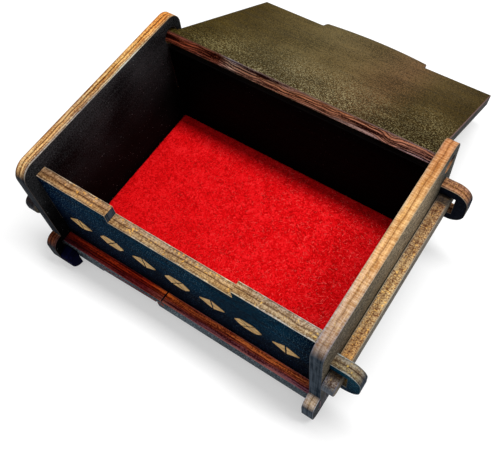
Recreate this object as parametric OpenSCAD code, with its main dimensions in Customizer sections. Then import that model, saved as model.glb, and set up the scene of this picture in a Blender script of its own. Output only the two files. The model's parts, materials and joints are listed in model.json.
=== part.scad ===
// Knock-down keepsake box of laser-cut plywood. The front and back panels pass
// through the sides as slotted tenons, and loose flat keys lock every corner.
// The lid turns on its own square ears and rests on the back panel when open.
// +X is the box's right, +Y its back, +Z up. The origin lies on the underside,
// in the middle of the four walls. The lid is drawn open.

/* [Box] */
// Clear width between the side panels
inner_w = 100; // [80:1:150]
// Clear depth between the front and back panels
inner_d = 62; // [50:1:100]
// Height of the side panels
side_h = 52; // [46:1:80]
// Thickness of the plywood
ply = 4; // [3:0.5:5]
// How far the sides reach past the faces of the front and back panels
side_margin = 4.25; // [3:0.25:8]
// Radius of the top corners of the side panels
side_corner_r = 5.5; // [1:0.5:6.5]
// Drop from the top of the sides to the top of the front panel
front_drop = 5.5; // [3:0.5:6]

/* [Lid] */
// Gap between the lid and each side panel
lid_side_gap = 0.7; // [0.4:0.1:1.5]
// Gap between the closed lid and the front panel
lid_front_gap = 0.5; // [0.4:0.1:1]
// Width of the finger tab on the front of the lid
lid_tab_w = 44.4; // [25:0.2:60]
// How far the ends of the finger tab stand out
lid_tab_reach = 4; // [3:0.5:5]
// How much further the middle of the finger tab bows out
lid_tab_bow = 2.8; // [1:0.2:4]
// Radius of the corners of the finger tab
lid_tab_corner_r = 1.6; // [0.5:0.1:2.5]
// Gap between the finger tab and its notch in the front panel
lid_notch_gap = 0.3; // [0.2:0.1:0.6]
// Drop from the top of the sides to the axis of the lid
pivot_drop = 7.1; // [6:0.1:9]
// How far the axis of the lid lies behind the middle of the back panel
pivot_setback = 0.6; // [0:0.1:1]
// Play of the ears of the lid in their round holes, on the diameter
pivot_hole_play = 0.35; // [0.1:0.05:0.6]
// How far the lid swings open, in degrees
lid_open = 210; // [195:1:220]
// Gap left where the open lid rests on the back panel
lid_stop_gap = 0.2; // [0.1:0.05:0.4]

/* [Keys] */
// Height of every key
key_h = 7.6; // [6:0.2:9]
// Play above and below a key in its slot
key_gap = 0.4; // [0.2:0.1:0.6]
// Gap between a key and the wall that it lies along
key_seat = 0.2; // [0.1:0.05:0.4]
// Play outside a front or rear key in its slot
front_key_play = 0.6; // [0.3:0.1:1]
// Play outside a side key in its slot
side_key_play = 1.3; // [0.3:0.1:2]
// Wood above and below the slot of a tenon
tenon_wall = 3.4; // [2:0.2:5]
// Wood beyond the slot of a tenon
tenon_tip = 4.2; // [3:0.1:6]
// Radius of the outer corners of a tenon
tenon_corner_r = 5.5; // [1:0.5:6]
// Height of the middle of the tenons above the underside
tenon_mid = 28.5; // [24:0.1:30]
// Play between a tenon and its mortise
tenon_gap = 0.1; // [0.05:0.05:0.2]
// How far a side key stands out past the front tenon
side_key_over = 5; // [2:0.5:10]
// How far a side key stands out past the rear tenon
side_key_rear_over = 1.8; // [1:0.2:10]
// Radius of the corners at the front end of a side key
side_key_r = 3.2; // [1:0.2:3.6]
// Radius of the corners at the rear end of a side key
side_key_rear_r = 1.2; // [0.4:0.2:3.6]

/* [Tabs of the sides] */
// Wood above and below the slot of a side tab
tab_wall = 2.8; // [2:0.2:5]
// Wood beyond the slot of a side tab
tab_tip = 3.85; // [3:0.05:6]
// Radius of the outer corners of a side tab
tab_corner_r = 4; // [1:0.5:4]
// Height of the cheek that backs the front left tab
cheek_h = 8; // [5:0.5:10]

/* [Front and rear keys] */
// Distance from the middle of the box to the joint between the two keys
key_joint_x = 7; // [0:1:12]
// Length of the spring finger under the end of the short key
finger_len = 24; // [10:1:30]
// Thickness of the spring finger at its root
finger_root = 2.7; // [2:0.1:2.8]
// Thickness of the spring finger at its tip
finger_tip = 0.9; // [0.7:0.1:2]
// Length of the toe of the long key below the joint
key_toe = 3; // [1:0.5:5]
// Width of the fine cuts in and between the keys
kerf = 0.4; // [0.3:0.1:0.6]

/* [Base and lining] */
// Length of each tab of the base panel
base_tab_len = 14; // [8:1:20]
// Distance between the two base tabs of one side
base_tab_pitch = 34; // [24:1:40]
// Thickness of the felt lining
felt_t = 1.1; // [0.8:0.1:3]
// Gap between the felt lining and the walls
felt_gap = 0.5; // [0.3:0.1:2]

/* [Hidden] */
$fn = 64;
over = 1;                                       // overshoot of every cut

half_w = inner_w / 2;                           // inner face of a side panel
outer_w = half_w + ply;                         // outer face of a side panel
half_d = inner_d / 2;                           // inner face of the front and back panels
wall_y = half_d + ply;                          // outer face of the front and back panels
side_y = wall_y + side_margin;                  // front and rear edge of a side panel

slot_h = key_h + 2 * key_gap;                   // height of every slot
tenon_slot = key_seat + ply + side_key_play;    // length of the slot in a tenon
tab_slot = key_seat + ply + front_key_play;     // length of the slot in a side tab
tenon_h = slot_h + 2 * tenon_wall;
tenon_reach = tenon_slot + tenon_tip;
tab_h = slot_h + 2 * tab_wall;
tab_y = wall_y + tab_slot + tab_tip;            // nose of a side tab
tab_mid = tab_h / 2;

pivot_y = half_d + ply / 2 + pivot_setback;
pivot_z = side_h - pivot_drop;
ear_r = ply / sqrt(2);                          // circle through the corners of an ear
pivot_hole_r = ear_r + pivot_hole_play / 2;
lid_half_w = half_w - lid_side_gap;
lid_front_y = -half_d + lid_front_gap;
lid_rear_y = pivot_y + ply / 2;
lid_fillet = lid_front_gap;
notch_w = lid_tab_w + 2 * lid_notch_gap;
notch_z = pivot_z - ply / 2 - lid_notch_gap;    // floor of the notch in the front panel

front_top = side_h - front_drop;
lid_tip = lid_open - 180;                       // slope of the open lid below level
back_top = pivot_z - (ply / 2 + lid_stop_gap + (wall_y - pivot_y) * sin(lid_tip)) / cos(lid_tip);

key_y = wall_y + key_seat;                      // inner face of a front or rear key
finger_top = tab_mid - kerf / 2;
key_bottom = tab_mid - key_h / 2;

// ---- outlines and plates shared by the pieces ----

// What a round corner of radius r leaves over, in the corner at the origin.
module corner_waste(r) {
    difference() {
        translate([-over, -over]) square(r + over);
        translate([r, r]) circle(r = r);
    }
}

// Rectangle from the origin; r lists its corner radii anticlockwise from lower left.
module round_rect(w, h, r) {
    corners = [[0, 0], [w, 0], [w, h], [0, h]];
    difference() {
        square([w, h]);
        for (k = [0:3])
            if (r[k] > 0) translate(corners[k]) rotate(90 * k) corner_waste(r[k]);
    }
}

// An outline drawn in Y and Z becomes a sheet whose left face lies at x.
module sheet_yz(x) {
    translate([x, 0, 0]) rotate([90, 0, 90]) linear_extrude(ply) children();
}

// An outline drawn in X and Z becomes a sheet whose front face lies at y.
module sheet_xz(y) {
    translate([0, y + ply, 0]) rotate([90, 0, 0]) linear_extrude(ply) children();
}

// ---- side panels ----

// Outline of a side panel with a slotted tab at each lower corner.
module side_outline() {
    difference() {
        union() {
            translate([-side_y, 0])
                round_rect(2 * side_y, side_h, [0, 0, side_corner_r, side_corner_r]);
            translate([-tab_y, 0])
                round_rect(2 * tab_y, tab_h, [tab_corner_r, tab_corner_r, tab_corner_r, tab_corner_r]);
        }
        for (s = [-1, 1]) {
            // slot for the front or rear keys
            translate([s * (wall_y + tab_slot / 2) - tab_slot / 2, tab_mid - slot_h / 2])
                square([tab_slot, slot_h]);
            // mortise for the tenon of the front or back panel
            translate([s * (half_d + ply / 2) - ply / 2 - tenon_gap, tenon_mid - tenon_h / 2 - tenon_gap])
                square([ply + 2 * tenon_gap, tenon_h + 2 * tenon_gap]);
            // notch for a tab of the base panel
            translate([s * base_tab_pitch / 2 - base_tab_len / 2 - tenon_gap, -over])
                square([base_tab_len + 2 * tenon_gap, ply + over]);
        }
        // round hole for the ear of the lid
        translate([pivot_y, pivot_z]) circle(r = pivot_hole_r);
    }
}

module side_left() {
    color("#b98a48") sheet_yz(-outer_w) side_outline();
}

module side_right() {
    color("#b98a48") sheet_yz(half_w) side_outline();
}

// Cheek glued to the inner face of the front left tab, ahead of the key.
module tab_cheek() {
    color("#15182e") translate([-half_w, 0, 0]) rotate([90, 0, 90]) linear_extrude(ply)
        translate([-tab_y, 0])
            round_rect(tab_tip + front_key_play / 2, cheek_h, [tab_corner_r, 0, 0, tab_corner_r]);
}

// ---- front and back panels ----

// Outline of a panel that ends in a slotted tenon at each side.
module panel_outline(top) {
    difference() {
        union() {
            translate([-half_w, 0]) square([inner_w, top]);
            translate([-outer_w - tenon_reach, tenon_mid - tenon_h / 2])
                round_rect(2 * (outer_w + tenon_reach), tenon_h,
                           [tenon_corner_r, tenon_corner_r, tenon_corner_r, tenon_corner_r]);
        }
        for (s = [-1, 1])
            translate([s * (outer_w + tenon_slot / 2) - tenon_slot / 2, tenon_mid - slot_h / 2])
                square([tenon_slot, slot_h]);
    }
}

module front_panel() {
    color("#2b5363") sheet_xz(-wall_y) difference() {
        panel_outline(front_top);
        translate([-notch_w / 2, notch_z]) square([notch_w, front_top - notch_z + over]);
    }
}

module back_panel() {
    color("#1c1a18") sheet_xz(half_d) panel_outline(back_top);
}

// ---- base panel and felt ----

module base_panel() {
    color("#2a2521") union() {
        translate([-half_w, -half_d, 0]) cube([inner_w, inner_d, ply]);
        for (s = [-1, 1])
            translate([-outer_w, s * base_tab_pitch / 2 - base_tab_len / 2, 0])
                cube([2 * outer_w, base_tab_len, ply]);
    }
}

module felt_lining() {
    color("#c1121c") translate([-half_w + felt_gap, -half_d + felt_gap, ply])
        cube([inner_w - 2 * felt_gap, inner_d - 2 * felt_gap, felt_t]);
}

// ---- lid ----

// Finger tab: straight ends and a front edge that bows out along one arc.
module lid_tab() {
    half = lid_tab_w / 2;
    bow_r = (half * half + lid_tab_bow * lid_tab_bow) / (2 * lid_tab_bow);
    intersection() {
        translate([-half, -lid_tab_reach - lid_tab_bow])
            round_rect(lid_tab_w, lid_tab_reach + lid_tab_bow + over,
                       [lid_tab_bow + lid_tab_corner_r, lid_tab_bow + lid_tab_corner_r, 0, 0]);
        translate([0, bow_r - lid_tab_reach - lid_tab_bow]) circle(r = bow_r, $fn = 256);
    }
    // small fillets where the tab leaves the front edge
    for (s = [-1, 1])
        translate([s * half, 0]) mirror([s < 0 ? 1 : 0, 0]) difference() {
            translate([-over, -lid_fillet]) square([lid_fillet + over, lid_fillet + over]);
            translate([lid_fillet, -lid_fillet]) circle(r = lid_fillet);
        }
}

module lid() {
    color("#4a3f2c")
    translate([0, pivot_y, pivot_z]) rotate([-lid_open, 0, 0]) translate([0, 0, -ply / 2])
        linear_extrude(ply) translate([0, -pivot_y]) union() {
            translate([-lid_half_w, lid_front_y])
                square([2 * lid_half_w, lid_rear_y - lid_front_y]);
            // square ears that reach through the side panels
            translate([-outer_w + lid_side_gap, lid_rear_y - ply])
                square([2 * (outer_w - lid_side_gap), ply]);
            translate([0, lid_front_y]) lid_tab();
        }
}

// ---- keys ----

// Straight key beside a side panel, rounded at both ends; x is its left face.
module side_key(x) {
    len = 2 * wall_y + side_key_over + side_key_rear_over;
    sheet_yz(x) translate([-wall_y - side_key_over, tenon_mid - key_h / 2])
        round_rect(len, key_h, [side_key_r, side_key_rear_r, side_key_rear_r, side_key_r]);
}

module side_key_left() {
    color("#a9783c") side_key(-outer_w - key_seat - ply);
}

module side_key_right() {
    color("#a9783c") side_key(outer_w + key_seat);
}

// Short key from the left tab to the joint. A fine cut frees a spring finger
// from the lower half of its inner end.
module short_key_outline() {
    root_x = -key_joint_x - key_toe - finger_len;
    tip_x = -key_joint_x - key_toe;
    difference() {
        translate([-outer_w, key_bottom]) square([outer_w - key_joint_x, key_h]);
        translate([root_x, finger_top]) square([finger_len + key_toe + over, kerf]);
        polygon([[root_x, key_bottom - over], [root_x, finger_top - finger_root],
                 [tip_x, finger_top - finger_tip], [tip_x, finger_top + kerf / 2],
                 [over, finger_top + kerf / 2], [over, key_bottom - over]]);
    }
}

// Long key from the joint to the right tab, with a toe below the joint.
module long_key_outline() {
    difference() {
        translate([-key_joint_x - key_toe + kerf, key_bottom])
            square([outer_w + key_joint_x + key_toe - kerf, key_h]);
        translate([-outer_w, finger_top])
            square([outer_w - key_joint_x + kerf, key_h]);
    }
}

module front_key_short() {
    color("#7d2f24") sheet_xz(-key_y - ply) short_key_outline();
}

module front_key_long() {
    color("#b5622c") sheet_xz(-key_y - ply) long_key_outline();
}

// The rear pair is the front pair turned half way round.
module rear_key_short() {
    color("#7d2f24") rotate([0, 0, 180]) sheet_xz(-key_y - ply) short_key_outline();
}

module rear_key_long() {
    color("#b5622c") rotate([0, 0, 180]) sheet_xz(-key_y - ply) long_key_outline();
}

side_left();
side_right();
front_panel();
back_panel();
base_panel();
felt_lining();
tab_cheek();
lid();
side_key_left();
side_key_right();
front_key_short();
front_key_long();
rear_key_short();
rear_key_long();
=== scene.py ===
import json
import math

import bmesh
import bpy
from mathutils import Matrix, Vector, noise


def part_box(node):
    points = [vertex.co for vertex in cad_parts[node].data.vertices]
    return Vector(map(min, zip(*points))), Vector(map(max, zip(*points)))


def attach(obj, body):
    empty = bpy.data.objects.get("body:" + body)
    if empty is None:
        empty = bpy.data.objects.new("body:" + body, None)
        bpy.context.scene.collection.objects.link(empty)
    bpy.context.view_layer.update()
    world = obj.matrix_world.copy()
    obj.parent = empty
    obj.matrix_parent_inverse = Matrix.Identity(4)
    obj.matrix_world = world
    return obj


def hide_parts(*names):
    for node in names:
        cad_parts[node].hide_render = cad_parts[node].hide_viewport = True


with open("model.json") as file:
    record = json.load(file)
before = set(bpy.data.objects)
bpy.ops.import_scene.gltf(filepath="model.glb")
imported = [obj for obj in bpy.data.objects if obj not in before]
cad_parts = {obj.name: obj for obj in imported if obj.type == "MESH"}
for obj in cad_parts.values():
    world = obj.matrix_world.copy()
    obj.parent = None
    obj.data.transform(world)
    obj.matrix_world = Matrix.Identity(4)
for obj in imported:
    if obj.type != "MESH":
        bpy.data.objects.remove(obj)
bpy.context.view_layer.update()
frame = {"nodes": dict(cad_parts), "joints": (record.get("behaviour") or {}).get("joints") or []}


# ---------------------------------------------------------------- camera
# A 48 mm lens looks down on the box from its front right, close by, as
# someone bending over it would.
def new_object(name, data):
    """An object with that data, linked into the scene."""
    made = bpy.data.objects.new(name, data)
    bpy.context.scene.collection.objects.link(made)
    return made


camera = new_object("camera", bpy.data.cameras.new("camera"))
camera.data.sensor_width = 36.0
camera.data.lens = 47.98
camera.data.clip_start = 0.01
camera.data.clip_end = 20.0
camera.location = (0.07685, -0.08438, 0.21193)
camera.rotation_euler = [math.radians(turn) for turn in (28.903, 4.250, 33.834)]
bpy.context.scene.camera = camera


# ---------------------------------------------------------------- studio
# A matt white table, an even white room and one wide soft lamp high behind
# the box, so the walls drop short soft shadows towards the front.
TABLE_HALF = 4.0
TABLE_DROP = 0.0004             # how far the table lies below the feet
TABLE_WHITE = 0.62              # share of the light that the table returns
GLOW_REACH = (0.20, 0.8)        # distances from the box where its glow starts and is full
GLOW = (0.40, 1.0)              # the table's glow in sight of the camera, near and far
ROOM_LIGHT, ROOM_WHITE = 0.48, 1.0      # the room as a light, and as it is seen

bpy.context.scene.view_settings.view_transform = "Standard"


def add_node(tree, kind, links=(), **settings):
    """A new node; links pairs an input with a value or another socket."""
    made = tree.nodes.new(kind)
    for name, value in settings.items():
        setattr(made, name, value)
    for name, value in dict(links).items():
        if isinstance(value, bpy.types.NodeSocket):
            tree.links.new(value, made.inputs[name])
        else:
            made.inputs[name].default_value = value
    return made


def new_material(name):
    """A material with an empty tree, and the tree."""
    material = bpy.data.materials.new(name)
    material.use_nodes = True
    material.node_tree.nodes.clear()
    return material, material.node_tree


def worked(tree, operation, first, second):
    """The outcome of that arithmetic on first and second."""
    return add_node(tree, "ShaderNodeMath", {0: first, 1: second}, operation=operation).outputs[0]


def ranged(tree, value, start, end, low=0.0, high=1.0):
    """low where the value is at start or before, high from end on, even between."""
    return add_node(tree, "ShaderNodeMapRange", {"Value": value, "From Min": start, "From Max": end,
                                                 "To Min": low, "To Max": high}).outputs[0]


def in_sight(tree):
    """1 for a ray from the camera, or off or through a glossy surface, else 0."""
    ray = add_node(tree, "ShaderNodeLightPath").outputs
    mirrored = worked(tree, "MAXIMUM", ray["Is Glossy Ray"], ray["Is Transmission Ray"])
    return worked(tree, "MAXIMUM", ray["Is Camera Ray"], mirrored)


world = bpy.data.worlds.new("room")
bpy.context.scene.world = world
world.use_nodes = True
tree = world.node_tree
tree.nodes.clear()
strength = ranged(tree, in_sight(tree), 0.0, 1.0, ROOM_LIGHT, ROOM_WHITE)
room = add_node(tree, "ShaderNodeBackground", {"Color": (1.0, 1.0, 1.0, 1.0), "Strength": strength})
add_node(tree, "ShaderNodeOutputWorld", {"Surface": room.outputs[0]})

lamp = new_object("lamp", bpy.data.lights.new("lamp", "AREA"))
lamp.data.shape = "RECTANGLE"
lamp.data.size = 0.66
lamp.data.size_y = 0.13
lamp.data.energy = 6.4
lamp.location = (0.19, 0.162, 0.80)

table = new_object("table", bpy.data.meshes.new("table"))
table.data.from_pydata([(-TABLE_HALF, -TABLE_HALF, -TABLE_DROP), (TABLE_HALF, -TABLE_HALF, -TABLE_DROP),
                        (TABLE_HALF, TABLE_HALF, -TABLE_DROP), (-TABLE_HALF, TABLE_HALF, -TABLE_DROP)],
                       [], [(0, 1, 2, 3)])
white, tree = new_material("table_white")
paper = add_node(tree, "ShaderNodeBsdfDiffuse", {"Color": (TABLE_WHITE, TABLE_WHITE, TABLE_WHITE, 1.0)})
place = add_node(tree, "ShaderNodeTexCoord").outputs["Object"]
away = add_node(tree, "ShaderNodeVectorMath", {0: place}, operation="LENGTH").outputs["Value"]
lift = worked(tree, "MULTIPLY", in_sight(tree), ranged(tree, away, *GLOW_REACH, *GLOW))
glow = add_node(tree, "ShaderNodeEmission", {"Strength": lift})
both = add_node(tree, "ShaderNodeAddShader", {0: paper.outputs[0], 1: glow.outputs[0]})
add_node(tree, "ShaderNodeOutputMaterial", {"Surface": both.outputs[0]})
table.data.materials.append(white)


# ---------------------------------------------------------------- side panels
# Two plywood boards, stained black inside and olive grey outside, with slotted
# feet at their lower corners. The laser left their edges scorched. Cut edges
# that face up are painted as lit, in warm ply colours, and the other cut edges
# dark and bluish, as in shade. The black inside walls are painted darker low
# down and lighter near the top, as shade and light.
X, Y, Z = range(3)
SHEET = 0.004                           # thickness of every board
RIM_WIDTH = 0.00028                     # width of the softened edges
WELD = 2e-6                             # points as near as this are one
FLAT = 0.5                              # faces that meet at fewer degrees are one
BROAD, RIM, CUT = 0.0, 0.5, 1.0         # kinds of face, in a board's attribute cut
SQUARE_TO, EDGE_ON = 0.97, 0.12         # cosines that tell a broad face and a cut edge
CORNER, CREASE = 30, 24                 # degrees from which an edge is softened, and left sharp
# How often the marks in the wood and the painted glints come, in a metre.
FIBRE_ALONG, FIBRE_ACROSS = 60.0, 900.0         # the grain of the broad faces
STROKE_THROUGH, STROKE_ALONG = 330.0, 2000.0    # strokes of the beam, straight through the sheet
LINE_THROUGH, LINE_ALONG = 2300.0, 70.0         # scorched lines, along the plies
CLOUD, GRIT, MOTE, BURN, GLINT_OFTEN = 45.0, 2100.0, 2200.0, 120.0, 1300.0
# Each noise keeps near 0.5. These are the stretches of it that are used in full.
STAIN_SPAN, PATCH_SPAN, WAVE_SPAN = (0.42, 0.58), (0.4, 0.6), (0.3, 0.7)
CHAR_SPAN, BITE_SPAN, SOOT_SPAN = (0.34, 0.6), (0.41, 0.58), (0.42, 0.60)
GLINT_SPAN, GATHER_SPAN, ROUGH_SPAN = (0.60, 0.70), (0.46, 0.57), (0.3, 0.7)
MOTE_EDGE = 0.1                         # over how much of its noise a mote of dust fades
BETWEEN_PATCHES, THINNEST = 0.4, 0.1    # share of the dust outside its patches, and far from its drift
CHAR = (-0.045, 0.01)                   # what the burn takes from an edge's marks, and adds
RIM_HIGHLIGHT_SLOPES, RIM_HIGHLIGHT = (-0.2, 0.6), (0.16, 0.75)   # slopes of a rim, and how pale its painted highlight makes it
ROUGHNESS = (0.5, 0.75)
RELIEF, RELIEF_DEPTH = 0.5, 0.00012     # how strong and how deep the marks are felt
KIND_APART = 0.1                        # kinds of face that differ by less are the same


def on_axis(axis, there, elsewhere):
    """A vector with one value on that axis and another on the other two."""
    return [there if k == axis else elsewhere for k in range(3)]


def welded(node):
    """The mesh of a CAD node to edit, its doubles merged and its flat faces whole."""
    form = bmesh.new()
    form.from_mesh(frame["nodes"][node].data)
    bmesh.ops.remove_doubles(form, verts=form.verts, dist=WELD)
    bmesh.ops.dissolve_limit(form, angle_limit=math.radians(FLAT), verts=form.verts, edges=form.edges)
    return form


def sharper(form, angle):
    """The edges of form where faces meet at more than angle degrees."""
    return [edge for edge in form.edges
            if edge.is_manifold and edge.calc_face_angle() > math.radians(angle)]


def soften(form, edges, width, segments=2, slide=False):
    """Rounds edges of form off over that width."""
    bmesh.ops.bevel(form, geom=edges, offset=width, segments=segments, profile=0.5, affect="EDGES",
                    clamp_overlap=True, loop_slide=slide)


def shade(mesh, angle):
    """Smooth shading, except where faces meet at more than angle degrees."""
    mesh.polygons.foreach_set("use_smooth", [True] * len(mesh.polygons))
    mesh.set_sharp_from_angle(angle=math.radians(angle))


def board(node, through, tilt=0.0):
    """A copy of a flat board with softened edges. through is the axis of its
    thickness, tilt the turn about X that it has at rest. Its faces carry cut
    (broad face, rim or cut edge), its points depth, from 0 to 1 through it."""
    form = welded(node)
    soften(form, sharper(form, CORNER), RIM_WIDTH, slide=True)
    bmesh.ops.triangulate(form, faces=[face for face in form.faces if len(face.verts) > 4])
    mesh = bpy.data.meshes.new(node + "_wood")
    form.to_mesh(mesh)
    form.free()
    axis = Matrix.Rotation(tilt, 3, "X") @ Vector(on_axis(through, 1.0, 0.0))
    heights = [axis.dot(point.co) for point in mesh.vertices]
    low = min(heights)
    depth = mesh.attributes.new("depth", "FLOAT", "POINT")
    for k, height in enumerate(heights):
        depth.data[k].value = (height - low) / SHEET
    cut = mesh.attributes.new("cut", "FLOAT", "FACE")
    for k, face in enumerate(mesh.polygons):
        along = abs(face.normal.dot(axis))
        cut.data[k].value = BROAD if along > SQUARE_TO else CUT if along < EDGE_ON else RIM
    shade(mesh, CREASE)
    return new_object(node + "_board", mesh)


def coat(wood, way, material):
    """Another material for the broad face of a board that looks that way."""
    wood.data.materials.append(material)
    for face in wood.data.polygons:
        if face.normal.dot(way) > 0.9:
            face.material_index = len(wood.data.materials) - 1


def mixed(tree, share, first, second):
    """Two numbers mixed, the second in that share."""
    return add_node(tree, "ShaderNodeMix", {0: share, 2: first, 3: second}).outputs[0]


def blended(tree, share, first, second, how="MIX"):
    """Two colours mixed, the second in that share."""
    first, second = (colour if isinstance(colour, bpy.types.NodeSocket) else (*colour, 1.0)
                     for colour in (first, second))
    return add_node(tree, "ShaderNodeMix", {0: share, 6: first, 7: second}, data_type="RGBA",
                    blend_type=how).outputs[2]


def colour_ramp(tree, value, stops):
    """A colour ramp of stops, each a place from 0 to 1 and its colour."""
    ramp = add_node(tree, "ShaderNodeValToRGB", {"Fac": value})
    marks = ramp.color_ramp.elements
    for mark, (spot, colour) in ((marks[0], stops[0]), (marks[1], stops[-1])):
        mark.position = spot
        mark.color = (*colour, 1.0)
    for spot, colour in stops[1:-1]:
        marks.new(spot).color = (*colour, 1.0)
    return ramp.outputs[0]


def tinted(tree, colour, place, tints):
    """The colour times each of tints: (axis, start, end, stops) of a ramp."""
    for axis, start, end, stops in tints:
        spot = add_node(tree, "ShaderNodeSeparateXYZ", {0: place}).outputs[axis]
        tint = colour_ramp(tree, ranged(tree, spot, start, end), stops)
        colour = blended(tree, 1.0, colour, tint, "MULTIPLY")
    return colour


def mottled(tree, place, often, detail=2.0, roughness=0.5):
    """Noise, around 0.5, with that many marks in a metre."""
    return add_node(tree, "ShaderNodeTexNoise", {"Vector": place, "Scale": often, "Detail": detail,
                                                 "Roughness": roughness}).outputs["Fac"]


def streaked(tree, place, often, detail=2.0, roughness=0.5):
    """The same, with a number of marks for each axis."""
    drawn = add_node(tree, "ShaderNodeMapping", {"Vector": place, "Scale": often})
    return mottled(tree, drawn.outputs[0], 1.0, detail, roughness)


def surface(tree, colour, rough, gloss, height, strength, depth):
    """The shader of a solid surface, embossed by height, and its output."""
    bump = add_node(tree, "ShaderNodeBump", {"Height": height, "Strength": strength, "Distance": depth})
    skin = add_node(tree, "ShaderNodeBsdfPrincipled",
                    {"Base Color": colour, "Roughness": rough, "Specular IOR Level": gloss,
                     "Normal": bump.outputs[0]})
    add_node(tree, "ShaderNodeOutputMaterial", {"Surface": skin.outputs[0]})


def plywood(name, through, grain, face, edge, plies, tilt=0.0,
            face_tints_and_shade=(), clouds=0.35, coarse=0.5,
            speck=(0.70, 0.35), dust=(0.42, 0.44, 0.44), dusty=(Z, -1.0, 0.0), dust_tints_and_shade=(),
            edge_tints_and_shade=(), lit_share=0.9, facing=(0.3, 0.8), wave=(190.0, 0.05), hatched=0.4, lined=0.3,
            burnt=(0.45, 0.34, 0.24), waxy=(1.4, 1.45, 1.5),
            glint=(1.0, 0.55, 0.13), glints=0.4, gathered=0.5, rim=(0.42, 0.34, 0.24), gloss=0.03):
    """Stained plywood. through and grain are the axes of the sheet's thickness
    and of its grain, and tilt the turn about X that the board has at rest.
    Broad faces: face is two colours of the stain and wash its tints along the
    board, painted shade and light among them, clouds the share of cloudiness in
    its grain and coarse that of grit.
    Dust: speck is how rare and how strong it is, dust its colour, dusty the
    axis along which it thickens, from where to where, and dust_tints_and_shade its tints,
    painted shade among them.
    Cut edges: edge is two colours of one that faces away from the sky, painted
    dark and bluish as in shade, plies the colours of an upward one from one side
    of the sheet to the other, painted as lit, and gild their tints along the
    board, painted shade among them. gilt is the largest share of the lit colours
    that an edge takes, facing the slopes over which that share grows, wave how
    often and how far the plies swerve. hatched and lined share its marks out
    between strokes through the sheet and lines along it, and burnt and waxy tint
    their dark and light parts. glint and glints are the colour and strength of
    its painted glints, small highlights, gathered how far they keep to a few
    patches. rim is the colour of the painted highlight on the softened edges."""
    material, tree = new_material(name)
    coords = add_node(tree, "ShaderNodeTexCoord").outputs
    place = flat = coords["Object"]
    if tilt:
        flat = add_node(tree, "ShaderNodeVectorRotate", {"Vector": place, "Angle": -tilt},
                        rotation_type="X_AXIS").outputs[0]
    cut = add_node(tree, "ShaderNodeAttribute", attribute_name="cut").outputs["Fac"]
    depth = add_node(tree, "ShaderNodeAttribute", attribute_name="depth").outputs["Fac"]
    up = add_node(tree, "ShaderNodeSeparateXYZ", {0: coords["Normal"]}).outputs["Z"]

    # broad faces: long grain under a cloudy stain
    fibre = streaked(tree, flat, on_axis(grain, FIBRE_ALONG, FIBRE_ACROSS), 4.0, 0.6)
    cloud = mottled(tree, place, CLOUD, 3.0)
    grit = mottled(tree, place, GRIT, 2.0, 0.7)
    grainy = mixed(tree, coarse, mixed(tree, clouds, fibre, cloud), grit)
    stain = blended(tree, ranged(tree, grainy, *STAIN_SPAN), *face)
    # tints along the board, painted shade and light among them
    tinted_face = tinted(tree, stain, flat, face_tints_and_shade)

    # dust caught in their pores, in patches
    rare, strong = speck
    dots = ranged(tree, mottled(tree, place, MOTE, 1.0), rare, rare + MOTE_EDGE, 0.0, strong)
    patches = ranged(tree, cloud, *PATCH_SPAN, BETWEEN_PATCHES)
    axis, start, end = dusty
    far = add_node(tree, "ShaderNodeSeparateXYZ", {0: flat}).outputs[axis]
    thick = ranged(tree, far, start, end, THINNEST)
    fallen = worked(tree, "MULTIPLY", worked(tree, "MULTIPLY", dots, patches), thick)
    # dust tinted along the board, painted shade among its tints
    broad = blended(tree, fallen, tinted_face, tinted(tree, dust, flat, dust_tints_and_shade))

    # upward cut edges: plies between dark glue lines, hatched by the beam, painted as lit
    often, swerve = wave
    bend = ranged(tree, mottled(tree, place, often), *WAVE_SPAN, -swerve, swerve)
    bands = tinted(tree, colour_ramp(tree, worked(tree, "ADD", depth, bend), plies), flat, edge_tints_and_shade)
    hatch = streaked(tree, flat, on_axis(through, STROKE_THROUGH, STROKE_ALONG))
    line = streaked(tree, flat, on_axis(through, LINE_THROUGH, LINE_ALONG))
    burn = mottled(tree, place, BURN, 4.0, 0.65)
    marks = mixed(tree, lined, mixed(tree, hatched, grit, hatch), line)
    bitten = worked(tree, "ADD", marks, ranged(tree, burn, *CHAR_SPAN, *CHAR))
    bite = blended(tree, ranged(tree, bitten, *BITE_SPAN), burnt, waxy)
    marked_plies = blended(tree, 1.0, bands, bite, "MULTIPLY")
    # painted glints: small bright highlights put into the colour, gathered in patches
    glint_spots = ranged(tree, mottled(tree, place, GLINT_OFTEN, 1.0), *GLINT_SPAN, 0.0, glints)
    lit = worked(tree, "MULTIPLY", glint_spots, ranged(tree, burn, *GATHER_SPAN, 1.0 - gathered))
    glinted = blended(tree, lit, marked_plies, tinted(tree, glint, flat, edge_tints_and_shade))

    # other cut edges: sooty, and painted dark and bluish as in shade; the lit ply colours take over as an
    # edge turns up
    soot = mixed(tree, 0.5, burn, line)
    shaded_edges = blended(tree, ranged(tree, soot, *SOOT_SPAN), *edge)
    side = blended(tree, ranged(tree, up, *facing, 0.0, lit_share), shaded_edges, glinted)

    # softened rims, with a painted highlight where they turn up
    is_cut = worked(tree, "GREATER_THAN", cut, (RIM + CUT) / 2)
    both = blended(tree, is_cut, broad, side)
    is_rim = add_node(tree, "ShaderNodeMath", {0: cut, 1: RIM, 2: KIND_APART},
                      operation="COMPARE").outputs[0]
    rim_highlight = worked(tree, "MULTIPLY", is_rim, ranged(tree, up, *RIM_HIGHLIGHT_SLOPES, *RIM_HIGHLIGHT))
    colour = blended(tree, rim_highlight, both, tinted(tree, rim, flat, edge_tints_and_shade))

    rough = ranged(tree, fibre, *ROUGH_SPAN, *ROUGHNESS)
    surface(tree, colour, rough, gloss, mixed(tree, is_cut, grainy, marks), RELIEF, RELIEF_DEPTH)
    return material


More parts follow.
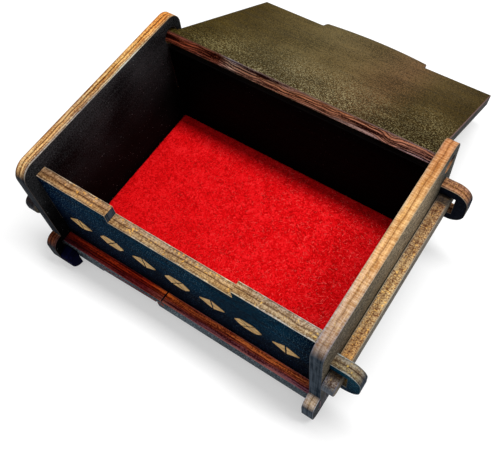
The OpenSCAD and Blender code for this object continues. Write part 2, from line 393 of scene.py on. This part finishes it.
COPPER = [(0.0, (0.14, 0.045, 0.014)), (0.07, (0.40, 0.17, 0.05)), (0.14, (0.72, 0.42, 0.16)),
          (0.26, (0.90, 0.56, 0.24)), (0.34, (0.62, 0.32, 0.10)), (0.385, (0.10, 0.035, 0.012)),
          (0.425, (0.10, 0.035, 0.012)), (0.47, (0.66, 0.33, 0.10)), (0.58, (0.92, 0.56, 0.22)),
          (0.645, (0.50, 0.24, 0.09)), (0.68, (0.15, 0.06, 0.025)), (0.72, (0.55, 0.31, 0.13)),
          (0.82, (0.66, 0.46, 0.26)), (0.89, (0.16, 0.09, 0.055)), (0.94, (0.50, 0.44, 0.38)),
          (1.0, (0.40, 0.36, 0.32))]
COPPER_ALONG = (Y, -0.032, 0.032, [(0.0, (0.82, 0.86, 0.98)), (0.12, (0.86, 0.88, 0.98)),
                                   (0.36, (0.60, 0.62, 0.76)), (0.62, (1.02, 1.16, 1.25)),
                                   (0.80, (1.06, 1.06, 0.98)), (1.0, (1.06, 0.82, 0.56))])
DARK_FOOT = (Y, -0.0436, -0.0385, [(0.0, (0.30, 0.15, 0.16)), (0.75, (0.30, 0.15, 0.16)),
                                   (1.0, (1.0, 1.0, 1.0))])
# painted shade and light: the black inside walls darker low down, lighter near the top
BLACK_SHADED_LOW_LIT_HIGH = (Z, 0.004, 0.050, [(0.0, (0.1, 0.1, 0.1)), (0.35, (0.3, 0.3, 0.3)),
                              (0.6, (1.0, 1.05, 1.1)), (1.0, (2.2, 2.3, 2.4))])
STRAW = [(0.0, (0.50, 0.36, 0.24)), (0.12, (0.62, 0.38, 0.20)), (0.30, (0.74, 0.43, 0.20)),
         (0.43, (0.62, 0.34, 0.14)), (0.50, (0.34, 0.17, 0.065)), (0.57, (0.62, 0.34, 0.14)),
         (0.74, (0.74, 0.43, 0.19)), (0.90, (0.56, 0.34, 0.17)), (1.0, (0.44, 0.30, 0.18))]
STRAW_ALONG = (Y, -0.044, 0.032, [(0.0, (0.8, 1.1, 2.0)), (0.03, (1.4, 1.9, 3.2)), (0.052, (1.4, 1.9, 3.2)),
                                  (0.060, (0.42, 0.56, 1.05)), (0.13, (0.60, 0.74, 1.22)),
                                  (0.30, (0.86, 0.96, 1.26)), (0.48, (1.0, 1.0, 0.98)),
                                  (0.72, (0.99, 1.0, 0.90)), (1.0, (0.80, 0.64, 0.58))])
OLIVE_UP = (Z, 0.004, 0.032, [(0.0, (0.16, 0.22, 0.36)), (0.3, (0.20, 0.27, 0.40)), (1.0, (1.0, 1.0, 1.0))])
OLIVE_BACK = (Y, -0.044, 0.044, [(0.0, (0.40, 0.45, 0.50)), (0.15, (0.42, 0.44, 0.48)),
                                 (0.34, (0.54, 0.55, 0.54)), (0.55, (0.96, 0.95, 0.92)),
                                 (0.72, (0.92, 0.92, 0.92)), (0.80, (0.45, 0.48, 0.52)),
                                 (0.86, (0.10, 0.14, 0.18)), (1.0, (0.16, 0.18, 0.20))])
LEFTWARD = Vector((-1.0, 0.0, 0.0))

black = plywood("black_stain_copper_edge", X, Y, [(0.0004, 0.0004, 0.0004), (0.019, 0.0185, 0.019)],
                [(0.004, 0.006, 0.010), (0.038, 0.044, 0.052)], COPPER, face_tints_and_shade=[BLACK_SHADED_LOW_LIT_HIGH], clouds=0.7,
                speck=(0.72, 1.0), edge_tints_and_shade=[COPPER_ALONG, DARK_FOOT], hatched=0.2, lined=0.45,
                burnt=(0.50, 0.30, 0.15), waxy=(1.35, 1.42, 1.4), glint=(1.0, 0.80, 0.36), gloss=0.012)
olive = plywood("olive_stain_straw_edge", X, Y, [(0.04, 0.027, 0.014), (0.42, 0.33, 0.22)],
                [(0.004, 0.012, 0.022), (0.060, 0.080, 0.105)], STRAW, face_tints_and_shade=[OLIVE_UP, OLIVE_BACK],
                coarse=0.65, speck=(0.70, 0.3), edge_tints_and_shade=[STRAW_ALONG], hatched=0.6,
                burnt=(0.70, 0.54, 0.36), waxy=(1.22, 1.28, 1.36), gloss=0.02)
for node, first, leftward in (("side_left", black, olive), ("side_right", olive, black)):
    wall = board(node, X)
    wall.data.materials.append(first)
    coat(wall, LEFTWARD, leftward)
    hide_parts(node)
    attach(wall, "carcass")


# ---------------------------------------------------------------- front panel
# One board stained deep teal, with painted shade darkening it towards its foot
# and in the corner by the right side panel, and darker towards its left end. Its
# ends pass through the sides as slotted tenons, and a wide notch takes the lid's
# finger tab.
PANEL_END = 0.0637                      # from the middle of the box to a tenon's nose
PALE_GOLD = [(0.0, (0.70, 0.56, 0.40)), (0.06, (0.50, 0.38, 0.24)), (0.10, (0.17, 0.10, 0.05)),
             (0.16, (0.42, 0.26, 0.12)), (0.30, (0.50, 0.31, 0.14)), (0.42, (0.40, 0.24, 0.11)),
             (0.47, (0.16, 0.08, 0.035)), (0.52, (0.16, 0.08, 0.035)), (0.57, (0.42, 0.25, 0.12)),
             (0.76, (0.50, 0.33, 0.19)), (0.88, (0.36, 0.24, 0.14)), (0.92, (0.15, 0.09, 0.05)),
             (0.96, (0.56, 0.46, 0.33)), (1.0, (0.62, 0.52, 0.38))]
PALE_ALONG = (X, -PANEL_END, PANEL_END, [(0.0, (0.55, 0.62, 0.85)), (0.13, (0.70, 0.66, 0.64)),
                                         (0.28, (0.86, 0.78, 0.70)), (0.42, (0.82, 0.86, 0.94)),
                                         (0.52, (0.72, 0.72, 0.74)), (0.66, (1.10, 1.12, 1.04)),
                                         (0.76, (0.82, 0.94, 1.18)), (0.88, (1.0, 1.18, 1.50)),
                                         (0.92, (0.52, 0.66, 0.84))])
# painted shade: the teal face darker towards its foot
TEAL_SHADED_FOOT = (Z, 0.010, 0.040, [(0.0, (0.4, 0.06, 0.10)), (0.4, (0.5, 0.2, 0.26)), (0.8, (1.0, 1.0, 1.0)),
                             (1.0, (1.1, 1.15, 1.1))])
# along the front: darker towards the left end, painted shade in the corner by the right side panel, much
# lighter on the right tenon
TEAL_ALONG_CORNER_SHADE = (X, -0.050, 0.060, [(0.0, (1.0, 0.26, 0.5)), (0.22, (1.3, 0.8, 0.86)), (0.6, (1.0, 1.0, 1.0)),
                                 (0.80, (1.0, 1.0, 1.0)), (0.86, (0.8, 0.55, 0.62)),
                                 (0.91, (0.5, 0.20, 0.30)), (0.945, (0.9, 1.05, 1.05)),
                                 (1.0, (5.0, 2.4, 1.8))])
# the dust painted darker towards the foot with the same shade
DUST_SHADED_FOOT = (Z, 0.010, 0.040, [(0.0, (0.3, 0.3, 0.4)), (0.5, (0.6, 0.6, 0.7)), (1.0, (1.0, 1.0, 1.0))])

teal = plywood("teal_stain_gold_edge", Y, X, [(0.0001, 0.0020, 0.005), (0.0010, 0.027, 0.061)],
               [(0.006, 0.012, 0.020), (0.062, 0.074, 0.090)], PALE_GOLD, face_tints_and_shade=[TEAL_SHADED_FOOT, TEAL_ALONG_CORNER_SHADE],
               speck=(0.61, 0.7), dust=(0.16, 0.32, 0.42), dust_tints_and_shade=[DUST_SHADED_FOOT], edge_tints_and_shade=[PALE_ALONG],
               hatched=0.3, glint=(1.0, 0.52, 0.10), glints=1.0, gathered=0.95,
               rim=(0.62, 0.50, 0.36), gloss=0.004)
front = board("front_panel", Y)
front.data.materials.append(teal)
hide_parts("front_panel")
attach(front, "carcass")


# ---------------------------------------------------------------- gold figures
# Seven flat figures of thin gold veneer in a row along the front panel, in
# turn a lozenge and a flat hexagon. Each is pieced from facets with fine open
# joints between them, and pressed into the face of the panel.
FIGURE_SUNK = 0.0003                    # how deep the veneer is pressed in
LOZENGE, HEXAGON = 4, 6                 # their corners
VENEER_GRAIN = (300.0, 900.0, 2200.0)   # marks of its grain in a metre, along X, Y and Z
VENEER_WEAR = 420.0                     # worn spots in a metre
SEAM = 1e-6                             # points of a facet as near as this are one
FIGURES = {"Count": 7, "Pitch": 0.0132, "Level": 0.0256, "Half Width": 0.0053, "Half Height": 0.0035,
           "Facet Size": 0.82, "Depth": 0.00042, "Face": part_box("front_panel")[0].y + FIGURE_SUNK}


def new_tree(name, sizes):
    """An empty geometry tree with a named input for each of sizes, and its ends."""
    tree = bpy.data.node_groups.new(name, "GeometryNodeTree")
    tree.interface.new_socket("Geometry", in_out="INPUT", socket_type="NodeSocketGeometry")
    tree.interface.new_socket("Geometry", in_out="OUTPUT", socket_type="NodeSocketGeometry")
    for size, value in sizes.items():
        kind = {int: "NodeSocketInt", float: "NodeSocketFloat"}.get(type(value), "NodeSocketMaterial")
        tree.interface.new_socket(size, in_out="INPUT", socket_type=kind)
    return tree, tree.nodes.new("NodeGroupInput").outputs, tree.nodes.new("NodeGroupOutput")


def end_tree(tree, instances, material, out):
    """Makes the instances real, gives them the material and ends the tree."""
    real = add_node(tree, "GeometryNodeRealizeInstances", {0: instances})
    dressed = add_node(tree, "GeometryNodeSetMaterial", {"Geometry": real.outputs[0], "Material": material})
    tree.links.new(dressed.outputs[0], out.inputs[0])


def grown(name, tree, sizes, mesh):
    """A new object with the plain mesh that tree makes from mesh."""
    piece = new_object(name, mesh)
    nodes = piece.modifiers.new("nodes", "NODES")
    nodes.node_group = tree
    for item in tree.interface.items_tree:
        if item.in_out == "INPUT" and item.name in sizes:
            nodes[item.identifier] = sizes[item.name]
    bpy.context.view_layer.update()
    made = bpy.data.meshes.new_from_object(piece.evaluated_get(bpy.context.evaluated_depsgraph_get()))
    made.name = name
    piece.modifiers.remove(nodes)
    piece.data = made
    return piece


veneer, tree = new_material("gold_veneer")
place = add_node(tree, "ShaderNodeTexCoord").outputs["Object"]
grain = streaked(tree, place, VENEER_GRAIN, 3.0)
gold = blended(tree, ranged(tree, grain, 0.35, 0.65), (0.50, 0.27, 0.075), (0.88, 0.56, 0.21))
rubbed = ranged(tree, mottled(tree, place, VENEER_WEAR, 3.0), 0.56, 0.70, 0.0, 0.6)
aged = blended(tree, rubbed, gold, (0.20, 0.13, 0.06))
surface(tree, aged, ranged(tree, grain, 0.0, 1.0, 0.35, 0.6), 0.2, grain, 0.3, 0.00005)
FIGURES["Veneer"] = veneer

tree, given, out = new_tree("gold_figures", FIGURES)
kinds = []
for corners in (LOZENGE, HEXAGON):
    disc = add_node(tree, "GeometryNodeMeshCircle", {"Vertices": corners, "Radius": 1.0},
                    fill_type="TRIANGLE_FAN")
    oval = add_node(tree, "ShaderNodeCombineXYZ", {"X": given["Half Width"], "Y": given["Half Height"],
                                                   "Z": 1.0})
    shape = add_node(tree, "GeometryNodeTransform", {"Geometry": disc.outputs[0], "Scale": oval.outputs[0]})
    parted = add_node(tree, "GeometryNodeSplitEdges", {"Mesh": shape.outputs[0]})
    facets = add_node(tree, "GeometryNodeScaleElements", {"Geometry": parted.outputs[0],
                                                          "Scale": given["Facet Size"]})
    tops = add_node(tree, "GeometryNodeExtrudeMesh", {"Mesh": facets.outputs[0],
                                                      "Offset Scale": given["Depth"]})
    floors = add_node(tree, "GeometryNodeFlipFaces", {0: facets.outputs[0]})
    blocks = add_node(tree, "GeometryNodeJoinGeometry")
    tree.links.new(tops.outputs[0], blocks.inputs[0])
    tree.links.new(floors.outputs[0], blocks.inputs[0])
    closed = add_node(tree, "GeometryNodeMergeByDistance", {"Geometry": blocks.outputs[0],
                                                            "Distance": SEAM})
    kinds.append(add_node(tree, "GeometryNodeGeometryToInstance", {0: closed.outputs[0]}))
both = add_node(tree, "GeometryNodeJoinGeometry")
for kind in reversed(kinds):
    tree.links.new(kind.outputs[0], both.inputs[0])
run = worked(tree, "MULTIPLY", worked(tree, "SUBTRACT", given["Count"], 1.0), given["Pitch"])
start = add_node(tree, "ShaderNodeCombineXYZ", {"X": worked(tree, "MULTIPLY", run, -0.5),
                                                "Y": given["Face"], "Z": given["Level"]})
pace = add_node(tree, "ShaderNodeCombineXYZ", {"X": given["Pitch"]})
row = add_node(tree, "GeometryNodeMeshLine", {"Count": given["Count"], "Start Location": start.outputs[0],
                                              "Offset": pace.outputs[0]})
number = add_node(tree, "GeometryNodeInputIndex").outputs[0]
placed = add_node(tree, "GeometryNodeInstanceOnPoints",
                  {"Points": row.outputs[0], "Instance": both.outputs[0], "Pick Instance": True,
                   "Instance Index": worked(tree, "MODULO", number, 2.0),
                   "Rotation": (math.pi / 2, 0.0, 0.0)})
end_tree(tree, placed.outputs[0], given["Veneer"], out)
gold_figures = grown("gold_figures", tree, FIGURES, bpy.data.meshes.new("gold_figures_seed"))
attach(gold_figures, "carcass")


# ---------------------------------------------------------------- back panel
# The same board without a notch, lower, so that the open lid comes to rest on
# its top edge. It is teal behind, and both panels are black inside. Between the
# tenons its upward edge is painted near black, as the shade under the resting
# lid; only the tenons keep the lit ply colours.
ROSE = [(0.0, (0.24, 0.12, 0.08)), (0.10, (0.22, 0.10, 0.055)), (0.26, (0.44, 0.22, 0.11)),
        (0.38, (0.30, 0.13, 0.055)), (0.46, (0.10, 0.035, 0.015)), (0.54, (0.34, 0.16, 0.07)),
        (0.66, (0.44, 0.22, 0.11)), (0.76, (0.14, 0.055, 0.03)), (0.85, (0.36, 0.18, 0.10)),
        (1.0, (0.26, 0.16, 0.12))]
# painted shade: the upward edge near black between the tenons, under the resting lid
ENDS_ONLY_SHADED_MIDDLE = (X, -PANEL_END, PANEL_END, [(0.0, (1.0, 1.0, 1.0)), (0.095, (1.0, 1.0, 1.0)),
                                        (0.11, (0.03, 0.035, 0.05)), (0.89, (0.03, 0.035, 0.05)),
                                        (0.905, (1.0, 1.0, 1.0)), (1.0, (1.0, 1.0, 1.0))])
PALER_ENDS = (X, -PANEL_END, PANEL_END, [(0.0, (9.0, 12.0, 18.0)), (0.10, (9.0, 12.0, 18.0)),
                                         (0.11, (1.0, 1.0, 1.0)), (0.89, (1.0, 1.0, 1.0)),
                                         (0.90, (9.0, 12.0, 18.0)), (1.0, (9.0, 12.0, 18.0))])
REARWARD = Vector((0.0, 1.0, 0.0))

rose = plywood("black_stain_rose_edge", Y, X, [(0.0001, 0.0001, 0.0002), (0.0010, 0.0010, 0.0012)],
               [(0.010, 0.012, 0.018), (0.026, 0.030, 0.040)], ROSE, face_tints_and_shade=[PALER_ENDS], speck=(0.72, 0.2),
               edge_tints_and_shade=[ENDS_ONLY_SHADED_MIDDLE], gloss=0.01)
back = board("back_panel", Y)
back.data.materials.append(rose)
coat(back, REARWARD, teal)
coat(front, REARWARD, rose)
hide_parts("back_panel")
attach(back, "carcass")


# ---------------------------------------------------------------- base panel
# The floor board, stained like the sides. Two tabs on each side edge sit in
# notches at the foot of the side panels.
base = board("base_panel", Z)
base.data.materials.append(plywood(
    "black_stain_base", Z, X, [(0.008, 0.007, 0.006), (0.020, 0.018, 0.016)],
    [(0.020, 0.018, 0.018), (0.05, 0.045, 0.04)], COPPER))
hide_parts("base_panel")
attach(base, "carcass")


# ---------------------------------------------------------------- tab cheek
# A small near-black navy block behind the front left foot, a little longer than
# the CAD node, with its outer end rounded off. It is dark navy all over, with a fine grain.
CHEEK_SPARE = 0.0012                    # how much longer it is than the CAD node
CHEEK_ROUND = 0.0014                    # how far its end is filed off
CHEEK_CORNER, CHEEK_CREASE = 60, 35     # degrees from which its other edges are softened, left sharp
CHEEK_GRAIN = (900.0, 120.0, 900.0)     # marks of its grain in a metre, along X, Y and Z

form = welded("tab_cheek")
end_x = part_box("tab_cheek")[1].x - 1e-5
outer = [point for point in form.verts if point.co.x > end_x]
for point in outer:
    point.co.x += CHEEK_SPARE
soften(form, [edge for edge in form.edges if all(point in outer for point in edge.verts)], CHEEK_ROUND,
       segments=4)
soften(form, sharper(form, CHEEK_CORNER), RIM_WIDTH)
bmesh.ops.recalc_face_normals(form, faces=form.faces)
mesh = bpy.data.meshes.new("cheek")
form.to_mesh(mesh)
form.free()
shade(mesh, CHEEK_CREASE)
cheek = new_object("tab_cheek_block", mesh)

navy, tree = new_material("cheek_navy")
place = add_node(tree, "ShaderNodeTexCoord").outputs["Object"]
fibre = streaked(tree, place, CHEEK_GRAIN, 3.0)
navy_tone = blended(tree, ranged(tree, fibre, 0.38, 0.64), (0.0008, 0.0008, 0.006), (0.003, 0.0035, 0.024))
surface(tree, navy_tone, ranged(tree, fibre, 0.0, 1.0, 0.5, 0.8), 0.01, fibre, 0.4, 0.0001)
cheek.data.materials.append(navy)
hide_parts("tab_cheek")
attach(cheek, "carcass")


# ---------------------------------------------------------------- lid
# One board with two square ears on its rear edge, which turn in the side
# panels, and a bowed finger tab. Its underside has an olive brown stain that
# the pores took up unevenly; the hinge edge shows red, wavy plies.
MAHOGANY = [(0.0, (0.36, 0.17, 0.12)), (0.06, (0.14, 0.05, 0.03)), (0.13, (0.46, 0.19, 0.10)),
            (0.20, (0.03, 0.008, 0.005)), (0.26, (0.36, 0.12, 0.055)), (0.36, (0.56, 0.21, 0.10)),
            (0.42, (0.025, 0.007, 0.005)), (0.48, (0.20, 0.06, 0.03)), (0.56, (0.60, 0.23, 0.12)),
            (0.62, (0.03, 0.008, 0.006)), (0.70, (0.46, 0.17, 0.09)), (0.77, (0.03, 0.009, 0.006)),
            (0.84, (0.50, 0.21, 0.13)), (0.92, (0.08, 0.03, 0.02)), (1.0, (0.36, 0.20, 0.16))]
MAHOGANY_ALONG = (X, -0.048, 0.048, [(0.0, (0.44, 0.24, 0.22)), (0.20, (0.50, 0.34, 0.34)),
                                     (0.25, (0.85, 1.4, 2.0)), (0.30, (0.56, 0.70, 0.90)),
                                     (0.50, (0.64, 0.64, 0.66)), (0.70, (0.78, 0.80, 0.82)),
                                     (1.0, (0.90, 0.95, 1.2))])
LID_ALONG = (X, -0.047, 0.047, [(0.0, (0.52, 0.46, 0.22)), (0.35, (0.98, 0.98, 1.0)),
                                (0.55, (1.0, 0.92, 0.96)), (0.72, (1.18, 0.91, 1.06)),
                                (0.85, (0.58, 0.51, 0.40)), (1.0, (0.42, 0.37, 0.25))])
LID_BACK = (Y, -0.075, -0.003, [(0.0, (1.15, 1.15, 1.2)), (0.6, (0.95, 0.94, 0.9)),
                                (1.0, (0.46, 0.42, 0.32))])
LID_DUST = (X, -0.047, 0.047, [(0.0, (0.5, 0.45, 0.22)), (0.2, (0.8, 0.78, 0.65)), (0.4, (1.0, 1.0, 1.0)),
                               (1.0, (0.92, 0.85, 0.66))])
lid_joint = next(joint for joint in frame["joints"] if joint["name"] == "lid_hinge")
LID_TILT = -math.radians(lid_joint["range_deg"][1])

lid = board("lid", Z, tilt=LID_TILT)
lid.data.materials.append(plywood(
    "olive_stain", Z, X, [(0.024, 0.018, 0.005), (0.150, 0.108, 0.040)],
    [(0.03, 0.03, 0.03), (0.11, 0.10, 0.09)], MAHOGANY, tilt=LID_TILT,
    face_tints_and_shade=[LID_ALONG, LID_BACK], clouds=0.5, coarse=0.6,
    speck=(0.53, 0.9), dust=(0.46, 0.41, 0.24), dusty=(Y, -0.038, -0.004), dust_tints_and_shade=[LID_DUST],
    edge_tints_and_shade=[MAHOGANY_ALONG], lit_share=1.0, facing=(0.1, 0.4), wave=(75.0, 0.26), hatched=0.0, lined=0.7,
    burnt=(0.07, 0.025, 0.03), waxy=(1.7, 1.8, 1.8), glints=0.0, rim=(0.20, 0.11, 0.09), gloss=0.004))
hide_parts("lid")
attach(lid, "lid")


# ---------------------------------------------------------------- side keys
# Long flat bars with rounded ends, pushed through the slots of the tenons to
# lock the corners. Their upper edges are coarse and golden, with painted shadow
# close to the tenons, and the left bar's edges and nose are painted darker than
# the right bar's, as in shade.
HONEY = [(0.0, (0.26, 0.19, 0.13)), (0.10, (0.30, 0.20, 0.11)), (0.26, (0.44, 0.27, 0.125)),
         (0.40, (0.36, 0.21, 0.09)), (0.50, (0.26, 0.14, 0.055)), (0.60, (0.42, 0.25, 0.11)),
         (0.78, (0.48, 0.30, 0.14)), (0.92, (0.36, 0.23, 0.12)), (1.0, (0.30, 0.22, 0.15))]
# painted shadows: the key tops near black close to each tenon
HONEY_ALONG_TENON_SHADOWS = (Y, -0.040, 0.0368, [(0.0, (0.36, 0.52, 1.05)), (0.03, (0.45, 0.56, 1.05)),
                                   (0.045, (0.12, 0.14, 0.18)), (0.068, (0.15, 0.15, 0.18)),
                                   (0.11, (1.0, 0.80, 0.55)), (0.28, (1.0, 1.0, 1.0)),
                                   (0.45, (1.28, 1.36, 1.40)), (0.62, (0.96, 0.98, 1.06)),
                                   (0.80, (0.90, 0.88, 0.90)), (0.87, (0.75, 0.7, 0.75)),
                                   (0.89, (0.10, 0.10, 0.12)), (0.96, (0.12, 0.12, 0.15)),
                                   (1.0, (0.5, 0.55, 0.8))])
# painted shade: the left key's cut edges and nose are darker than the right key's
KEY_EDGES_LEFT_SHADED = {"left": [(0.008, 0.010, 0.014), (0.030, 0.034, 0.042)],
             "right": [(0.040, 0.060, 0.085), (0.11, 0.125, 0.15)]}
KEY_NOSES_LEFT_SHADED = {"left": (0.15, 0.13, 0.16), "right": (1.0, 1.0, 1.0)}

for side, edge in KEY_EDGES_LEFT_SHADED.items():
    nose = (Y, -0.041, -0.034, [(0.0, KEY_NOSES_LEFT_SHADED[side]), (0.8, KEY_NOSES_LEFT_SHADED[side]), (1.0, (1.0, 1.0, 1.0))])
    honey = plywood(side + "_honey_edge", X, Y, [(0.040, 0.033, 0.026), (0.22, 0.185, 0.14)], edge, HONEY,
                    edge_tints_and_shade=[HONEY_ALONG_TENON_SHADOWS, nose], hatched=0.3, lined=0.1, burnt=(0.38, 0.20, 0.09),
                    waxy=(1.5, 1.62, 1.6), glints=0.8, gathered=0.2, rim=(0.34, 0.28, 0.20))
    name = "side_key_" + side
    key = board(name, X)
    key.data.materials.append(honey)
    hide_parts(name)
    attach(key, name)


# ---------------------------------------------------------------- front and rear keys
# Two bars meet in front of each panel: a short one with a sprung finger and a
# long one whose toe slips under it. Their upper edges are burnt dark red, and
# turn orange brown along the long one.
EMBER = [(0.0, (0.48, 0.75, 1.50)), (0.12, (0.64, 1.0, 2.20)), (0.28, (0.64, 0.95, 2.10)),
         (0.38, (0.25, 0.2, 0.3)), (0.45, (0.9, 0.8, 0.8)), (0.53, (0.30, 0.22, 0.25)),
         (0.62, (1.35, 1.5, 0.75)), (0.82, (1.45, 1.7, 0.8)), (0.91, (0.6, 0.5, 0.4)),
         (1.0, (1.1, 1.3, 1.0))]
KEY_SPAN = (X, -0.050, 0.050)
KEY_ALONG = (*KEY_SPAN, [(0.0, (0.6, 0.55, 0.55)), (0.4, (1.0, 1.0, 1.0)), (1.0, (1.0, 1.0, 1.0))])
FRONT_SPOTS = [(0.0, (0.14, 0.008, 0.009)), (0.17, (0.34, 0.022, 0.010)), (0.36, (0.40, 0.022, 0.013)),
               (0.44, (0.62, 0.10, 0.035)), (0.56, (0.46, 0.075, 0.050)), (0.70, (0.70, 0.14, 0.080)),
               (0.86, (0.80, 0.160, 0.085)), (1.0, (0.44, 0.10, 0.085))]
REAR_SPOTS = [(1.0 - spot, colour) for spot, colour in reversed(FRONT_SPOTS)]

for side, spots in (("front", FRONT_SPOTS), ("rear", REAR_SPOTS)):
    ember = plywood(side + "_ember_edge", Y, X, [(0.0004, 0.003, 0.006), (0.085, 0.118, 0.146)],
                    [(0.02, 0.02, 0.025), (0.05, 0.05, 0.055)], EMBER, face_tints_and_shade=[KEY_ALONG], clouds=0.6,
                    coarse=0.6, speck=(0.58, 0.9), dust=(0.34, 0.40, 0.44), edge_tints_and_shade=[(*KEY_SPAN, spots)],
                    lit_share=1.0, wave=(95.0, 0.10), hatched=0.1, lined=0.6, burnt=(0.22, 0.08, 0.12),
                    waxy=(1.55, 1.7, 1.5), glints=0.0, rim=(0.9, 1.3, 2.0))
    for length in ("short", "long"):
        name = side + "_key_" + length
        key = board(name, Y)
        key.data.materials.append(ember)
        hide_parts(name)
        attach(key, name)


# ---------------------------------------------------------------- felt lining
# A loose rectangle of red wool felt, one millimetre thick, cut to the floor of
# the box and laid on it. Its surface is softly uneven and its cut edge a little
# ragged.
FELT_STEP = 0.0006                      # side of a square of its mesh
FELT_SUNK, FELT_CLEAR = 0.0001, 0.00002     # how far its faces keep inside the CAD node
SWELLS = ((0.00007, 260.0, 0.0), (0.00005, 900.0, 5.0))    # height, number in a metre, seed
FRAY, FRAYS = 0.00008, 1500.0           # depth of the ragged edge, and its teeth in a metre
TANGLE, MATTING = 900.0, 160.0          # fine and broad blotches of its dye in a metre

low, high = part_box("felt_lining")
felt_size = (high.x - low.x, high.y - low.y)
columns, rows = (round(size / FELT_STEP) for size in felt_size)
form = bmesh.new()


def nap(x, y):
    """Height of the felt's surface over or under its flat level."""
    return sum(height * noise.noise(Vector((x * often, y * often, seed))) for height, often, seed in SWELLS)


def frayed(step, last, along, seed):
    """How far a point at either end of a row lies inside the felt's flat edge."""
    if step not in (0, last):
        return 0.0
    return (FRAY if step == 0 else -FRAY) * (1 + noise.noise(Vector((along * FRAYS, 0.0, seed))))


def felt_sheet(level, uneven):
    """A grid of points at that level, ragged by a hair's breadth at its edge."""
    grid = []
    for j in range(rows + 1):
        line = []
        for i in range(columns + 1):
            x = low.x + felt_size[0] * i / columns
            y = low.y + felt_size[1] * j / rows
            z = level + (nap(x, y) if uneven else 0.0)
            x += frayed(i, columns, y, 3.0)
            y += frayed(j, rows, x, 7.0)
            line.append(form.verts.new((x, y, z)))
        grid.append(line)
    return grid


top, under = felt_sheet(high.z - FELT_SUNK, True), felt_sheet(low.z + FELT_CLEAR, False)
for j in range(rows):
    for i in range(columns):
        form.faces.new((top[j][i], top[j][i + 1], top[j + 1][i + 1], top[j + 1][i]))
        form.faces.new((under[j][i], under[j + 1][i], under[j + 1][i + 1], under[j][i + 1]))
edge = ([(0, i) for i in range(columns + 1)] + [(j, columns) for j in range(1, rows + 1)]
        + [(rows, i) for i in range(columns - 1, -1, -1)] + [(j, 0) for j in range(rows - 1, 0, -1)])
for (j0, i0), (j1, i1) in zip(edge, edge[1:] + edge[:1]):
    form.faces.new((under[j0][i0], under[j1][i1], top[j1][i1], top[j0][i0]))
bmesh.ops.recalc_face_normals(form, faces=form.faces)
mesh = bpy.data.meshes.new("felt")
form.to_mesh(mesh)
form.free()
mesh.polygons.foreach_set("use_smooth", [True] * len(mesh.polygons))
felt = new_object("felt", mesh)

wool, tree = new_material("red_wool")
place = add_node(tree, "ShaderNodeTexCoord").outputs["Object"]
tangle = add_node(tree, "ShaderNodeTexNoise", {"Vector": place, "Scale": TANGLE, "Detail": 5.0,
                                               "Roughness": 0.7, "Distortion": 1.6}).outputs["Fac"]
mottle = mixed(tree, 0.15, tangle, mottled(tree, place, MATTING, 3.0))
reds = colour_ramp(tree, ranged(tree, mottle, 0.41, 0.61),
                   [(0.0, (0.44, 0.0005, 0.001)), (0.5, (0.76, 0.001, 0.003)), (1.0, (0.91, 0.014, 0.018))])
surface(tree, reds, 0.95, 0.08, mottle, 0.6, 0.0002)
felt.data.materials.append(wool)
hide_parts("felt_lining")
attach(felt, "carcass")


# ---------------------------------------------------------------- felt hairs
# Loose hairs of the same wool lie matted over the felt, curled and paler than
# its dye, the more so to the right, where they catch the light.
HAIR_BLOTCH = 500.0                     # paler spots in a metre
HAIR_CREST = 0.6                        # where along its length a hair bows most
LEAST, MOST = (0.5, -1.6, 0.8), (1.3, 1.6, 1.2)     # range of their lengths, bows and heights
UPWARD = 0.5                            # least slope of a face that bears hairs

hair, tree = new_material("pale_wool")
place = add_node(tree, "ShaderNodeTexCoord").outputs["Object"]
blotch = mottled(tree, place, HAIR_BLOTCH)
across = add_node(tree, "ShaderNodeSeparateXYZ", {0: place}).outputs["X"]
# painted light: the hairs paler towards the right
lit_to_right = worked(tree, "MULTIPLY", blotch, ranged(tree, across, low.x, high.x, 0.0, 1.2))
pale = blended(tree, lit_to_right, (0.80, 0.005, 0.005), (1.0, 0.36, 0.30))
surface(tree, pale, 0.9, 0.1, blotch, 0.3, 0.00002)

HAIRS = {"Density": 660000.0, "Length": 0.0010, "Bow": 0.00018, "Thickness": 0.000036, "Seed": 7,
         "Wool": hair}
tree, given, out = new_tree("felt_hairs", HAIRS)
slope = add_node(tree, "GeometryNodeInputNormal").outputs[0]
steep = add_node(tree, "ShaderNodeSeparateXYZ", {0: slope}).outputs["Z"]
roots = add_node(tree, "GeometryNodeDistributePointsOnFaces",
                 {"Mesh": given["Geometry"], "Selection": worked(tree, "GREATER_THAN", steep, UPWARD),
                  "Density": given["Density"], "Seed": given["Seed"]})
end = add_node(tree, "ShaderNodeCombineXYZ", {"X": given["Length"]})
crest = add_node(tree, "ShaderNodeCombineXYZ", {"X": worked(tree, "MULTIPLY", given["Length"], HAIR_CREST),
                                                "Y": given["Bow"]})
bow = add_node(tree, "GeometryNodeCurveQuadraticBezier",
               {"Resolution": 5, "Start": (0.0, 0.0, 0.0), "Middle": crest.outputs[0],
                "End": end.outputs[0]})
ring = add_node(tree, "GeometryNodeCurvePrimitiveCircle", {"Resolution": 3, "Radius": given["Thickness"]})
thread = add_node(tree, "GeometryNodeCurveToMesh", {"Curve": bow.outputs[0], "Fill Caps": True,
                                                    "Profile Curve": ring.outputs[0]})
turn = add_node(tree, "FunctionNodeRandomValue", {0: (0.0, 0.0, 0.0), 1: (0.0, 0.0, 2 * math.pi),
                                                  "Seed": given["Seed"]}, data_type="FLOAT_VECTOR")
size = add_node(tree, "FunctionNodeRandomValue", {0: LEAST, 1: MOST,
                                                  "Seed": given["Seed"]}, data_type="FLOAT_VECTOR")
laid = add_node(tree, "GeometryNodeInstanceOnPoints",
                {"Points": roots.outputs["Points"], "Instance": thread.outputs[0],
                 "Rotation": turn.outputs[0], "Scale": size.outputs[0]})
end_tree(tree, laid.outputs[0], given["Wool"], out)
hairs = grown("felt_hairs", tree, HAIRS, felt.data.copy())
form = bmesh.new()
form.from_mesh(hairs.data)
bmesh.ops.recalc_face_normals(form, faces=form.faces)
form.to_mesh(hairs.data)
form.free()
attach(hairs, "carcass")
